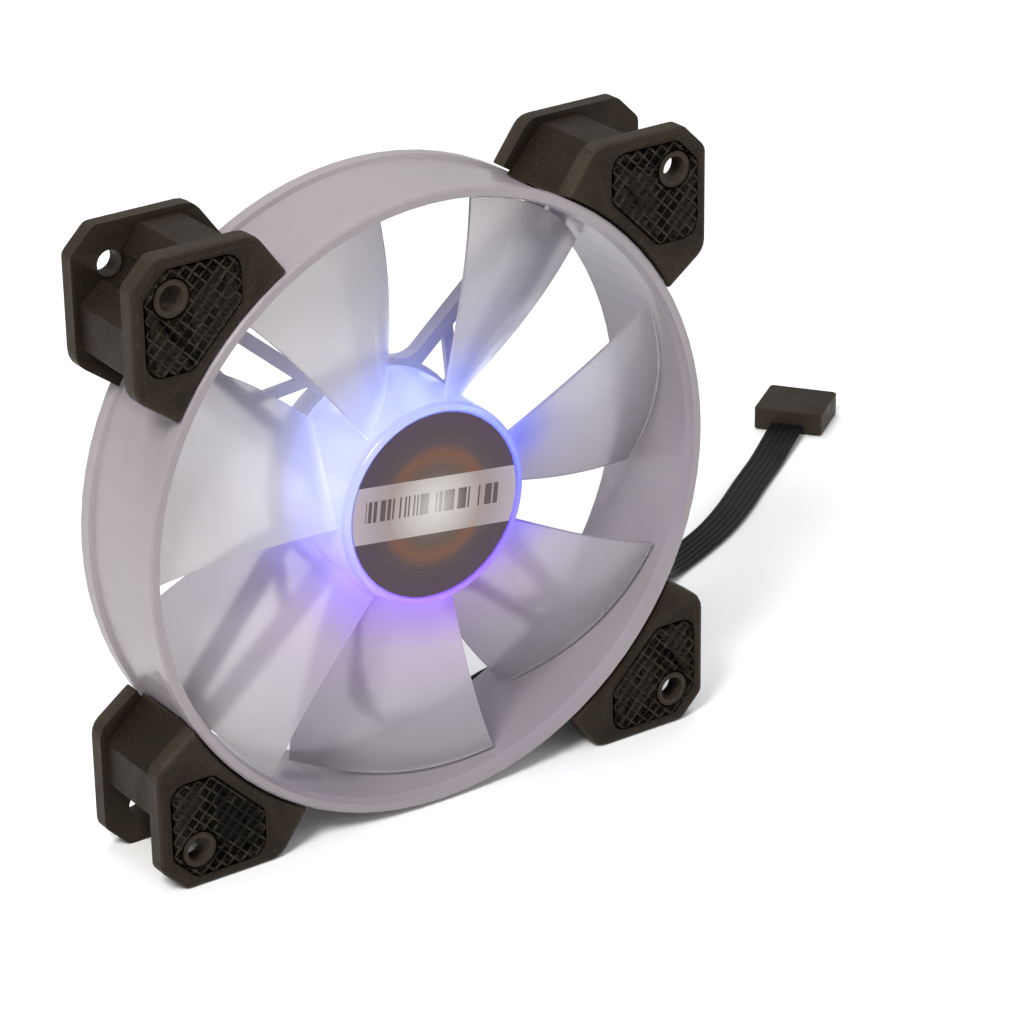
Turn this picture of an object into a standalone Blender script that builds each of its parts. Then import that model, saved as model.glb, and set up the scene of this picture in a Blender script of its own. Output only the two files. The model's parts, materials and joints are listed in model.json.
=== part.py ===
"""A 120 mm case fan with a lit impeller, vibration pads and a six-wire ribbon lead.

The fan stands on its lower edge: +Z is up, the label side faces -Y, the struts are at +Y.
The shaft runs along Y, through the middle of the frame. Metres throughout.
"""

import math

import bmesh
import bpy
from mathutils import Vector

MM = 0.001

# Driving dimensions, in millimetres.
SIZE = 120.0                     # across the flats of the frame
HALF = SIZE / 2
SCREW = 52.5                     # screw axis from the shaft, along X and along Z
SCREW_BORE = 2.4                 # radius of the screw holes
AIR_GAP = 0.3                    # between pieces that touch
FRAME_FACE = 12.3                # frame faces, measured from the middle of the thickness
PAD_FACE = 12.5                  # outer faces of the rubber pads
RING_OUTER = 59.4                # flange radius of the ring
BARREL_OUTER = 58.6              # radius between the flanges
RING_INNER = 57.0                # radius of the air duct
RING_MOUTH = 57.6                # radius of the duct at the front edge
FLANGE_INSIDE = 9.3              # inner side of both flanges
PLATE_INSIDE = 8.4               # inner side of the corner blocks' plates
BASE_RADIUS = 21.0               # motor base at the rear
BASE_FRONT = 9.2
CHANNEL_FLOOR = 10.7             # floor of the rear recess and of the lead's channel
STRUT_OFFSET = 7.3               # strut centre line from the shaft
STRUT_TILT = 4.4                 # strut direction, degrees from the diagonal
STRUT_WIDTH = 2.6
BRACE_WIDTH = 2.2
BRACE_FRONT = 11.0
BLADES = 7
FIRST_GAP = 29.7                 # angle of the first gap between blades, degrees
BLADE_ROOT = 19.1
BLADE_TIP = 56.1
HUB_FRONT = 10.9                 # hub face under the label
HUB_REAR = 8.3
LABEL_RADIUS = 17.6
SHAFT_RADIUS = 1.5
TUBE_OUTER = 4.2                 # bearing tube of the frame
TUBE_INNER = 2.9
STATOR_FRONT = -4.0
STATOR_REAR = 2.0
NECK_HALF = 1.6                  # half width of a stator neck
PCB_FRONT = 7.9
PCB_REAR = 8.8
LED_RING = 16.6
LEDS = 6
FIRST_LED = 55.0
RIBBON_WIDTH = 7.6               # six wires side by side
RIBBON_THICK = 1.2
LEAD_EXIT = 22.2                 # where the lead leaves the motor base, below the shaft
COIL_CENTRE = (67.0, 27.6)       # round coil of the lead, on the floor behind the frame
COIL_OUTER = 13.2                # radius of its outermost turn
COIL_INNER = 10.8                # radius of its innermost turn
COIL_LOW = 0.85                  # its lower edge, lifted by the cable tie
CROSSING_RADIUS = 5.6            # where the lead turns flat inside the coil
CROSSING_ANGLE = -30.0
CROSSING_HEIGHT = 9.7
CONNECTOR_AT = (157.3, 83.0)
RUN_HEADING = 36.0

SMOOTH_ANGLE = math.radians(32)


def clear_scene():
    for item in list(bpy.data.objects):
        bpy.data.objects.remove(item, do_unlink=True)


def material(name, colour, roughness, metallic=0.0):
    made = bpy.data.materials.new(name)
    made.use_nodes = True
    shader = made.node_tree.nodes["Principled BSDF"]
    shader.inputs["Base Color"].default_value = (*colour, 1.0)
    shader.inputs["Roughness"].default_value = roughness
    shader.inputs["Metallic"].default_value = metallic
    made.diffuse_color = (*colour, 1.0)
    return made


# Shape helpers. Points are in millimetres around the shaft: x to the right, y to the rear, z up.

def world(x, y, z):
    return Vector((x * MM, y * MM, (z + HALF) * MM))


def finish(name, mesh_builder, look):
    """Close a bmesh into one named object with outward faces."""
    bmesh.ops.recalc_face_normals(mesh_builder, faces=mesh_builder.faces)
    mesh = bpy.data.meshes.new(name)
    mesh_builder.to_mesh(mesh)
    mesh_builder.free()
    made = bpy.data.objects.new(name, mesh)
    bpy.context.scene.collection.objects.link(made)
    if look:
        mesh.materials.append(look)
    return made


def smooth(piece):
    piece.data.shade_smooth()
    piece.data.set_sharp_from_angle(angle=SMOOTH_ANGLE)


def loft(name, loops, look=None):
    """A solid through closed loops of equal length, capped at both ends."""
    bm = bmesh.new()
    rings = [[bm.verts.new(point) for point in loop] for loop in loops]
    count = len(rings[0])
    for lower, upper in zip(rings, rings[1:]):
        for i in range(count):
            j = (i + 1) % count
            bm.faces.new((lower[i], lower[j], upper[j], upper[i]))
    bm.faces.new(rings[0])
    bm.faces.new(rings[-1])
    return finish(name, bm, look)


def extrude_y(name, outline, y_low, y_high, look=None):
    """A flat outline of (x, z) points, extruded along the shaft."""
    return loft(name, [[world(x, y, z) for x, z in outline] for y in (y_low, y_high)], look)


def tube_between(name, outer, inner, look=None):
    """A ring-shaped solid. outer and inner each hold two loops, low and high."""
    bm = bmesh.new()
    loops = [[bm.verts.new(point) for point in loop] for loop in (*outer, *reversed(inner))]
    count = len(loops[0])
    for k, loop in enumerate(loops):
        following = loops[(k + 1) % 4]
        for i in range(count):
            j = (i + 1) % count
            bm.faces.new((loop[i], loop[j], following[j], following[i]))
    return finish(name, bm, look)


def turned(name, profile, look=None, segments=64):
    """A profile of (radius, y) points turned around the shaft. Radius 0 closes on the axis."""
    bm = bmesh.new()
    rings = []
    for radius, y in profile:
        if radius == 0:
            rings.append([bm.verts.new(world(0, y, 0))])
            continue
        angles = [2 * math.pi * k / segments for k in range(segments)]
        rings.append([bm.verts.new(world(radius * math.cos(a), y, radius * math.sin(a))) for a in angles])
    closed = profile[0][0] > 0
    pairs = list(zip(rings, rings[1:]))
    if closed:
        pairs.append((rings[-1], rings[0]))
    for first, second in pairs:
        for i in range(segments):
            j = (i + 1) % segments
            corners = [first[i % len(first)], first[j % len(first)]]
            corners += [second[j % len(second)], second[i % len(second)]]
            bm.faces.new(list(dict.fromkeys(corners)))
    return finish(name, bm, look)


def disc(name, radius, y_low, y_high, look=None, segments=48, inner=0.0):
    """A plain disc, or a washer where inner is given."""
    if inner:
        profile = [(radius, y_low), (radius, y_high), (inner, y_high), (inner, y_low)]
    else:
        profile = [(0, y_low), (radius, y_low), (radius, y_high), (0, y_high)]
    return turned(name, profile, look, segments)


def rod(radius, x, z, y_low, y_high, segments=24):
    """A round cutter or boss along Y at (x, z)."""
    outline = [
        (x + radius * math.cos(2 * math.pi * k / segments), z + radius * math.sin(2 * math.pi * k / segments))
        for k in range(segments)
    ]
    return extrude_y("tool", outline, y_low, y_high)


def combine(target, tool, operation):
    """Apply a Boolean between two solids and drop the tool."""
    look = target.data.materials[0] if target.data.materials else None
    modifier = target.modifiers.new(operation.title(), "BOOLEAN")
    modifier.operation = operation
    modifier.solver = "EXACT"
    modifier.object = tool
    shape = bpy.data.meshes.new_from_object(target.evaluated_get(bpy.context.evaluated_depsgraph_get()))
    target.modifiers.clear()
    target.data = shape
    shape.name = target.name
    shape.materials.clear()
    if look:
        shape.materials.append(look)
    bpy.data.objects.remove(tool, do_unlink=True)


def polar(radius, degrees):
    return radius * math.cos(math.radians(degrees)), radius * math.sin(math.radians(degrees))


def arc(radius, start, stop, steps, centre=(0.0, 0.0)):
    points = []
    for k in range(steps + 1):
        x, z = polar(radius, start + (stop - start) * k / steps)
        points.append((centre[0] + x, centre[1] + z))
    return points


def rounded(corners, steps=3):
    """Round the corners of a polygon. Each corner is (x, z, radius)."""
    outline = []
    count = len(corners)
    for k, (x, z, radius) in enumerate(corners):
        here = Vector((x, z))
        if radius == 0:
            outline.append((x, z))
            continue
        before = (Vector(corners[k - 1][:2]) - here).normalized()
        after = (Vector(corners[(k + 1) % count][:2]) - here).normalized()
        half_angle = before.angle(after) / 2
        centre = here + (before + after).normalized() * (radius / math.sin(half_angle))
        reach = radius / math.tan(half_angle)
        first = here + before * reach - centre
        last = here + after * reach - centre
        for step in range(steps + 1):
            part = first.slerp(last, step / steps) * radius
            outline.append((centre.x + part.x, centre.y + part.y))
    return outline


def inset(outline, distance):
    """Move each point of a convex-ish counter-clockwise outline inward by a mitred distance."""
    moved = []
    count = len(outline)
    for k in range(count):
        here = Vector(outline[k])
        along_in = (here - Vector(outline[k - 1])).normalized()
        along_out = (Vector(outline[(k + 1) % count]) - here).normalized()
        normal = Vector((-along_in.y, along_in.x)) + Vector((-along_out.y, along_out.x))
        normal.normalize()
        cosine = max(0.5, normal.dot(Vector((-along_in.y, along_in.x))))
        moved.append(tuple(here + normal * (distance / cosine)))
    return moved


# The frame: one clear moulding with the ring, four strut pairs, motor base and bearing tube.

def frame_ring(look):
    lip = 0.4
    profile = [
        (RING_MOUTH, -FRAME_FACE),
        (RING_OUTER - lip, -FRAME_FACE),
        (RING_OUTER, -FRAME_FACE + lip),
        (RING_OUTER, -FLANGE_INSIDE),
        (BARREL_OUTER, -FLANGE_INSIDE + lip),
        (BARREL_OUTER, FLANGE_INSIDE - lip),
        (RING_OUTER, FLANGE_INSIDE),
        (RING_OUTER, FRAME_FACE - lip),
        (RING_OUTER - lip, FRAME_FACE),
        (RING_INNER, FRAME_FACE),
        (RING_INNER, -FRAME_FACE + 2.0),
    ]
    return turned("frame", profile, look, segments=80)


def along_strut(distance, offset, side, corner):
    """A point by its distance along a strut's direction and its offset from the shaft."""
    direction = math.radians(corner - side * STRUT_TILT)
    x = distance * math.cos(direction) - side * offset * math.sin(direction)
    z = distance * math.sin(direction) + side * offset * math.cos(direction)
    return x, z


def strut_bar(side, corner, rear):
    half = STRUT_WIDTH / 2
    reach = 57.3
    ends = [(17.5, STRUT_OFFSET - half), (reach, STRUT_OFFSET - half)]
    ends += [(reach, STRUT_OFFSET + half), (17.5, STRUT_OFFSET + half)]
    outline = [along_strut(distance, offset, side, corner) for distance, offset in ends]
    return extrude_y("tool", outline, BASE_FRONT + 0.05, rear)


def strut_fillet(side, corner, rear):
    """The concave web where a strut's outer edge flows into the motor base."""
    radius = 5.0
    edge = STRUT_OFFSET + STRUT_WIDTH / 2
    centre_along = math.sqrt((BASE_RADIUS + radius) ** 2 - (edge + radius) ** 2)
    centre = Vector((centre_along, edge + radius))
    on_base = centre * (BASE_RADIUS / (BASE_RADIUS + radius)) - centre
    on_strut = Vector((0.0, -radius))
    curve = [centre + on_base.slerp(on_strut, k / 5) * radius for k in range(6)]
    inner = [(centre_along, edge - 1.0), (17.0, edge - 1.0), (16.0, edge + 3.0)]
    local = inner + [(point.x, point.y) for point in curve]
    outline = [along_strut(distance, offset, side, corner) for distance, offset in local]
    return extrude_y("tool", outline, BASE_FRONT + 0.1, rear)


def brace(middle, half_span, corner, front, rear):
    """One diagonal of the zig-zag between two struts. middle is its distance along the diagonal."""
    lean = math.radians(50)
    outline = []
    for across, thick in ((-1, -1), (1, -1), (1, 1), (-1, 1)):
        along = across * half_span * math.cos(lean) / math.sin(lean)
        shift = thick * BRACE_WIDTH / 2 / math.sin(lean)
        x, z = polar(1.0, corner)
        u = middle + along + shift
        v = across * half_span
        outline.append((u * x - v * z, u * z + v * x))
    return extrude_y("tool", outline, front, rear)


def motor_base():
    """Disc with a rear recess, and the bearing tube standing on it, as one turned profile."""
    front_round = 0.6
    recess = 18.6
    profile = [
        (0, CHANNEL_FLOOR),
        (recess, CHANNEL_FLOOR),
        (recess + 0.3, FRAME_FACE),
        (BASE_RADIUS, FRAME_FACE),
        (BASE_RADIUS, BASE_FRONT + front_round),
        (BASE_RADIUS - front_round, BASE_FRONT),
        (TUBE_OUTER, BASE_FRONT),
        (TUBE_OUTER, -6.5),
        (TUBE_INNER, -6.5),
        (TUBE_INNER, 10.0),
        (0, 10.0),
    ]
    return turned("tool", profile, None, segments=48)


def diagonal_box(u_low, u_high, half_width, y_low, y_high, corner):
    x, z = polar(1.0, corner)
    outline = [
        (u * x - v * z, u * z + v * x)
        for u, v in ((u_low, -half_width), (u_high, -half_width), (u_high, half_width), (u_low, half_width))
    ]
    return extrude_y("tool", outline, y_low, y_high)


def make_frame(look):
    frame = frame_ring(look)
    combine(frame, motor_base_with_struts(), "UNION")
    smooth(frame)
    return frame


def motor_base_with_struts():
    base = motor_base()
    rear = FRAME_FACE - 0.05
    for corner in (45, 135, 225, 315):
        for side in (-1, 1):
            combine(base, strut_bar(side, corner, rear), "UNION")
            combine(base, strut_fillet(side, corner, rear - 0.07), "UNION")
        combine(base, brace(26.7, 4.9, corner, BRACE_FRONT, rear - 0.12), "UNION")
        combine(base, brace(53.0, 2.9, corner, BRACE_FRONT, rear - 0.12), "UNION")
    half_slot = RIBBON_WIDTH / 2 + 0.4
    combine(base, diagonal_box(17.0, 24.0, half_slot, CHANNEL_FLOOR - 0.02, 14.0, 270), "DIFFERENCE")
    combine(base, diagonal_box(11.4, 14.9, half_slot, 8.0, 12.0, 270), "DIFFERENCE")
    return base


# Corner blocks: moulded spools with two plates, a channel around the screw and two pad pockets.

def plate_outline(arc_radius):
    chamfer = HALF - 4.8
    shoulder = 35.4
    corners = rounded([
        (*polar(arc_radius, 29.6), 0),
        (HALF, shoulder, 4.0),
        (HALF, chamfer, 2.2),
        (chamfer, HALF, 2.2),
        (shoulder, HALF, 4.0),
        (*polar(arc_radius, 60.4), 0),
    ])
    return corners[1:-1] + arc(arc_radius, 60.4, 29.6, 10)


def pad_outline(gap):
    low = 38.6 + gap
    high = 57.9 - gap
    cut = 53.3 - gap * 0.4
    knee = 48.8 + gap * 0.6
    return rounded([
        (high, low, 3.0),
        (high, cut, 1.8),
        (cut, high, 1.8),
        (low, high, 3.0),
        (low, knee, 2.2),
        (knee, low, 2.2),
    ])


def block_middle():
    """The body between the plates: it hugs the barrel and opens to the corner around the screw."""
    side = 58.7
    shoulder = 38.2
    mouth = 46.3
    channel = arc(3.0, 148, 302, 8, centre=(SCREW, SCREW))
    outline = [(side, shoulder), (side, mouth)]
    outline += list(reversed(channel))
    outline += [(mouth, side), (shoulder, side)]
    outline += arc(BARREL_OUTER + 0.35, 58.6, 31.4, 8)
    return outline


def mirrored(outline, flip_x, flip_z):
    return [(x * flip_x, z * flip_z) for x, z in outline]


def make_block(name, flip_x, flip_z, look):
    bevel = 0.9
    arc_radius = RING_OUTER + 0.35
    outline = plate_outline(arc_radius)
    shoulder = inset(outline, bevel * 0.3)
    face = inset(outline, bevel)
    block = extrude_y(name, mirrored(block_middle(), flip_x, flip_z), -8.95, 8.95, look)
    for front in (-1, 1):
        layers = [(PLATE_INSIDE, outline), (FRAME_FACE - bevel, outline), (FRAME_FACE - bevel * 0.3, shoulder),
                  (FRAME_FACE, face)]
        loops = [[world(x, front * y, z) for x, z in mirrored(loop, flip_x, flip_z)] for y, loop in layers]
        combine(block, loft("tool", loops), "UNION")
        pocket = mirrored(pad_outline(0.0), flip_x, flip_z)
        low, high = sorted((front * 11.1, front * 14.0))
        combine(block, extrude_y("tool", pocket, low, high), "DIFFERENCE")
        low, high = sorted((front * 10.6, front * (FRAME_FACE + 0.1)))
        combine(block, rod(3.4, flip_x * SCREW, flip_z * SCREW, low, high, 24), "UNION")
    combine(block, rod(SCREW_BORE, flip_x * SCREW, flip_z * SCREW, -15, 15, 24), "DIFFERENCE")
    smooth(block)
    return block


def make_pad(name, flip_x, flip_z, front, look):
    outline = mirrored(pad_outline(AIR_GAP), flip_x, flip_z)
    low, high = sorted((front * 11.4, front * PAD_FACE))
    pad = extrude_y(name, outline, low, high, look)
    combine(pad, rod(3.85, flip_x * SCREW, flip_z * SCREW, -15, 15, 20), "DIFFERENCE")
    smooth(pad)
    return pad


def make_corners(shell, rubber):
    for name, flip_x, flip_z in (
        ("upper_left", -1, 1),
        ("upper_right", 1, 1),
        ("lower_left", -1, -1),
        ("lower_right", 1, -1),
    ):
        make_block(f"corner_block_{name}", flip_x, flip_z, shell)
        make_pad(f"front_pad_{name}", flip_x, flip_z, -1, rubber)
        make_pad(f"rear_pad_{name}", flip_x, flip_z, 1, rubber)


# The rotor: impeller with blades, its label, steel yoke, magnet, bush and shaft.

def hub_shell(look):
    profile = [
        (0, -HUB_FRONT),
        (17.95, -HUB_FRONT),
        (17.95, -11.4),
        (18.25, -11.6),
        (18.8, -11.5),
        (19.2, -11.1),
        (19.35, -10.4),
        (19.7, -1.0),
        (20.0, HUB_REAR),
        (18.7, HUB_REAR),
        (18.1, -9.3),
        (16.0, -9.3),
        (16.0, -5.0),
        (14.8, -5.0),
        (14.8, -9.3),
        (0, -9.3),
    ]
    return turned("impeller", profile, look, segments=48)


def blade_point(span, chord):
    """A point of the blade's middle surface. span 0 is the root, chord 0 the leading edge."""
    radius = BLADE_ROOT + (BLADE_TIP - BLADE_ROOT) * span
    width = 45.0 - 6.5 * span
    sweep = 4.0 * span * span
    angle = math.radians(sweep + (0.5 - chord) * width)
    leading = -9.0 + 1.0 * span
    trailing = 6.6 - 1.8 * span
    camber = -1.6 * math.sin(math.pi * chord)
    depth = leading + (trailing - leading) * chord + camber
    return Vector((radius * math.cos(angle), depth, radius * math.sin(angle)))


def blade(turn):
    """A thin closed blade, turned by an angle around the shaft."""
    spans = 6
    chords = 5
    small = 0.001
    sheets = []
    for face in (-1, 1):
        sheet = []
        for i in range(spans + 1):
            row = []
            for j in range(chords + 1):
                span = i / spans
                chord = j / chords
                point = blade_point(span, chord)
                across = blade_point(span + small, chord) - point
                along = blade_point(span, chord + small) - point
                normal = across.cross(along).normalized()
                thick = (1.7 - 0.5 * span) * (0.4 + 0.6 * math.sin(math.pi * chord))
                point = point + normal * (face * thick / 2)
                x = point.x * math.cos(turn) - point.z * math.sin(turn)
                z = point.x * math.sin(turn) + point.z * math.cos(turn)
                row.append(world(x, point.y, z))
            sheet.append(row)
        sheets.append(sheet)
    bm = bmesh.new()
    grids = [[[bm.verts.new(point) for point in row] for row in sheet] for sheet in sheets]
    for grid in grids:
        for i in range(spans):
            for j in range(chords):
                bm.faces.new((grid[i][j], grid[i + 1][j], grid[i + 1][j + 1], grid[i][j + 1]))
    rim = [(0, j) for j in range(chords)] + [(i, chords) for i in range(spans)]
    rim += [(spans, j) for j in range(chords, 0, -1)] + [(i, 0) for i in range(spans, 0, -1)]
    for k, (i, j) in enumerate(rim):
        m, n = rim[(k + 1) % len(rim)]
        bm.faces.new((grids[0][i][j], grids[0][m][n], grids[1][m][n], grids[1][i][j]))
    return finish("tool", bm, None)


def make_impeller(look):
    impeller = hub_shell(look)
    step = 360.0 / BLADES
    for k in range(BLADES):
        combine(impeller, blade(math.radians(FIRST_GAP + step * (k + 0.5))), "UNION")
    smooth(impeller)
    return impeller


def make_rotor_core(steel, magnet, brass, dark):
    label = disc("hub_label", LABEL_RADIUS, -11.4, -11.2, dark, segments=40)
    yoke = turned("rotor_yoke", [
        (3.95, -8.9), (14.0, -8.9), (14.4, -8.5), (14.4, 5.0), (13.6, 5.0), (13.6, -8.1), (3.95, -8.1),
    ], steel, segments=32)
    ring = disc("magnet_ring", 13.3, -6.5, 4.6, magnet, segments=32, inner=11.9)
    bush = disc("shaft_bush", 3.6, -8.85, -7.0, brass, segments=16, inner=SHAFT_RADIUS + 0.32)
    shaft = turned("shaft", [
        (0, -8.8), (1.3, -8.8), (SHAFT_RADIUS, -8.6), (SHAFT_RADIUS, 7.7), (1.05, 7.7),
        (1.05, 8.3), (SHAFT_RADIUS, 8.3), (SHAFT_RADIUS, 8.6), (1.1, 8.9), (0, 8.9),
    ], steel, segments=16)
    for piece in (label, yoke, ring, bush, shaft):
        smooth(piece)


# The stator and bearing, on the frame's bearing tube.

def pole_outline(hub, shoe_low, shoe_high, half_span, arc_steps):
    """Four necks and shoes around a hub ring."""
    outline = []
    for k in range(4):
        turn = 90 * k
        neck = []
        inner = math.sqrt(hub ** 2 - NECK_HALF ** 2)
        under = math.sqrt(shoe_low ** 2 - NECK_HALF ** 2)
        neck.append((inner, -NECK_HALF))
        neck.append((under, -NECK_HALF))
        neck.append(polar(shoe_low, -half_span))
        neck += arc(shoe_high, -half_span, half_span, arc_steps)
        neck.append(polar(shoe_low, half_span))
        neck.append((under, NECK_HALF))
        neck.append((inner, NECK_HALF))
        cosine, sine = polar(1.0, turn)
        outline += [(x * cosine - z * sine, x * sine + z * cosine) for x, z in neck]
    return outline


def make_stator(steel, plastic, copper):
    bore = TUBE_OUTER + 0.35
    core = extrude_y("stator_core", pole_outline(6.3, 9.9, 11.1, 37, 8), STATOR_FRONT, STATOR_REAR, steel)
    front = extrude_y("stator_insulator_front", pole_outline(6.3, 9.9, 10.8, 33, 6),
                      STATOR_FRONT - 1.2, STATOR_FRONT - AIR_GAP, plastic)
    rear = extrude_y("stator_insulator_rear", pole_outline(6.3, 9.9, 10.8, 33, 6),
                     STATOR_REAR + AIR_GAP, STATOR_REAR + 1.2, plastic)
    for piece in (core, front, rear):
        combine(piece, rod(bore, 0, 0, -20, 20, 24), "DIFFERENCE")
        smooth(piece)
    middle = (STATOR_FRONT + STATOR_REAR) / 2
    for k, name in enumerate(("right", "top", "left", "bottom")):
        coil = winding(f"coil_{name}", 90 * k, middle, copper)
        smooth(coil)


def winding(name, turn, middle, copper):
    """A winding around one neck: a rounded ring in the plane across the neck."""
    cosine, sine = polar(1.0, turn)
    inner_half = (NECK_HALF + AIR_GAP, 4.5)
    wall = 1.2
    loops = {}
    for key, grow in (("outer", wall), ("inner", 0.0)):
        a = inner_half[0] + grow
        b = inner_half[1] + grow
        radius = 0.5 + grow * 0.8
        shape = rounded([(a, -b, radius), (a, b, radius), (-a, b, radius), (-a, -b, radius)])
        loops[key] = [
            [world(r * cosine - v * sine, middle + w, r * sine + v * cosine) for v, w in shape]
            for r in (6.75, 8.75)
        ]
    return tube_between(name, loops["outer"], loops["inner"], copper)


def make_bearing(bronze, felt, steel, plastic):
    bearing = turned("sleeve_bearing", [
        (SHAFT_RADIUS + 0.32, -5.4), (2.3, -5.4), (2.58, -5.1), (2.58, 6.9), (2.3, 7.2),
        (SHAFT_RADIUS + 0.32, 7.2),
    ], bronze, segments=16)
    washer = disc("oil_washer", 2.55, -6.3, -5.75, felt, segments=16, inner=SHAFT_RADIUS + 0.32)
    clip_shape = arc(2.45, 200, 520, 14) + arc(1.38, 520, 200, 14)
    clip = extrude_y("retaining_clip", clip_shape, 7.8, 8.2, steel)
    pad = disc("thrust_pad", 2.55, 9.25, 9.7, plastic, segments=16)
    for piece in (bearing, washer, clip, pad):
        smooth(piece)


# Electronics on the board behind the stator.

def box_at(name, radius, angle, size_radial, size_across, y_low, y_high, look, corner=0.15):
    """A small rounded block on the board, turned to face the shaft."""
    half_r = size_radial / 2
    half_a = size_across / 2
    x, z = polar(1.0, angle)
    shape = rounded([(half_r, -half_a, corner), (half_r, half_a, corner), (-half_r, half_a, corner),
                     (-half_r, -half_a, corner)], steps=2)
    outline = [((radius + a) * x - b * z, (radius + a) * z + b * x) for a, b in shape]
    return extrude_y(name, outline, y_low, y_high, look)


def make_board(fibre, lens, epoxy, steel):
    disc("driver_board", 18.0, PCB_FRONT, PCB_REAR, fibre, segments=40, inner=TUBE_OUTER + 0.35)
    top = PCB_FRONT - AIR_GAP
    for k in range(LEDS):
        angle = FIRST_LED + 360.0 / LEDS * k
        led = box_at(f"led_{k + 1}", LED_RING, angle, 2.8, 2.8, top - 1.3, top, lens, corner=0.3)
        smooth(led)
    box_at("driver_chip", 9.0, 85, 3.6, 4.4, top - 1.0, top, epoxy)
    box_at("hall_sensor", 12.6, 25, 1.5, 3.0, 5.4, top, epoxy)
    box_at("capacitor", 9.6, 205, 1.6, 3.2, top - 1.1, top, lens)
    for k, angle in enumerate((45, 135, 225, 315)):
        x, z = polar(7.6, angle)
        pin = rod(0.35, x, z, STATOR_REAR + 1.5, top, 8)
        pin.name = f"stator_pin_{k + 1}"
        pin.data.name = pin.name
        pin.data.materials.append(steel)
        smooth(pin)


# The six-wire lead: out of the motor base, down behind the ring, round a coil, then to its connector.

def catmull(points, per_span):
    """A smooth curve through points."""
    full = [points[0] * 2 - points[1]] + points + [points[-1] * 2 - points[-2]]
    curve = []
    for k in range(1, len(full) - 2):
        a, b, c, d = full[k - 1:k + 3]
        for step in range(per_span):
            t = step / per_span
            curve.append(0.5 * (2 * b + (c - a) * t + (2 * a - 5 * b + 4 * c - d) * t * t
                                + (3 * b - a - 3 * c + d) * t ** 3))
    curve.append(points[-1])
    return curve


def floor_point(x, y, height):
    """A point given by its height above the floor."""
    return Vector((x, y, height - HALF))


def strip(name, path, sides, look):
    """A flat strip along a path. sides gives the direction of its width at each point."""
    count = len(path)
    stations = []
    for k in range(count):
        tangent = (path[min(k + 1, count - 1)] - path[max(k - 1, 0)]).normalized()
        side = sides[k] - tangent * sides[k].dot(tangent)
        side.normalize()
        normal = tangent.cross(side)
        half_w = side * (RIBBON_WIDTH / 2)
        half_t = normal * (RIBBON_THICK / 2)
        corners = (path[k] - half_w - half_t, path[k] + half_w - half_t,
                   path[k] + half_w + half_t, path[k] - half_w + half_t)
        stations.append([world(*corner) for corner in corners])
    return loft(name, stations, look)


def ease(value, start, stop):
    share = min(1.0, max(0.0, (value - start) / (stop - start)))
    return share * share * (3 - 2 * share)


LEAD_Y = CHANNEL_FLOOR + AIR_GAP + RIBBON_THICK / 2
UPRIGHT = Vector((0.0, 0.0, 1.0))
SIDEWAYS = Vector((1.0, 0.0, 0.0))
FORE_AND_AFT = Vector((0.0, 1.0, 0.0))


def below(u, y):
    """A point straight below the shaft."""
    return Vector((0.0, y, -u))


def make_held_lead(look):
    """The stretch inside the motor base: through its slot, then across the rear recess."""
    route = [below(13.0, 9.4), below(13.05, 10.4), below(14.1, 11.35), below(16.5, LEAD_Y),
             below(LEAD_EXIT - 0.3, LEAD_Y)]
    path = catmull(route, 2)
    strip("lead_in_base", path, [SIDEWAYS] * len(path), look)


def make_free_lead(look):
    """The stretch from the motor base down to the floor and along it to the coil."""
    rest = 0.1 + RIBBON_THICK / 2
    standing = COIL_LOW + RIBBON_WIDTH / 2
    near_side = COIL_CENTRE[1] - COIL_OUTER
    route = [
        below(LEAD_EXIT, LEAD_Y),
        below(27.5, 12.6),
        Vector((0.3, 14.6, -33.5)),
        Vector((0.8, 16.2, -40.0)),
        Vector((1.3, 17.0, -46.5)),
        Vector((2.3, 17.2, -52.6)),
        floor_point(6.2, 17.2, 2.4),
        floor_point(12.5, 17.2, rest),
        floor_point(21.0, 17.1, rest),
        floor_point(30.0, 16.7, rest),
        floor_point(39.0, 15.9, 1.9),
        floor_point(49.0, 14.9, 4.1),
        floor_point(COIL_CENTRE[0] - 6.7, near_side, standing),
    ]
    path = catmull(route, 3)
    sides = []
    for point in path:
        drop = ease(-point.z, 22.0, 36.0) * 0.633 + ease(-point.z, 38.0, 54.0) * 0.367
        side = SIDEWAYS.slerp(FORE_AND_AFT, drop)
        sides.append(side.slerp(UPRIGHT, ease(point.x, 16.0, 50.0)))
    settle(path, sides)
    strip("ribbon_drop", path, sides, look)


def settle(path, sides):
    """Lift each point until the strip's lower edge clears the floor."""
    for point, side in zip(path, sides):
        flat = math.sqrt(max(0.0, 1 - side.z ** 2))
        reach = abs(side.z) * RIBBON_WIDTH / 2 + flat * RIBBON_THICK / 2
        if point.x > 10.0:
            point.z = max(point.z, reach + 0.1 - HALF)


def make_lead_coil(look):
    """One solid of the outer shape of the wound turns."""
    inner = COIL_INNER - RIBBON_THICK / 2 - 0.15
    outer = COIL_OUTER + RIBBON_THICK / 2 + 0.1
    loops = []
    for radius in (outer, inner):
        ring = arc(radius, 0, 352.5, 47, centre=COIL_CENTRE)
        loops.append([[floor_vertex(x, y, h) for x, y in ring] for h in (COIL_LOW, COIL_LOW + RIBBON_WIDTH)])
    coil = tube_between("ribbon_coil", loops[0], loops[1], look)
    smooth(coil)


def floor_vertex(x, y, height):
    return world(x, y, height - HALF)


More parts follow.
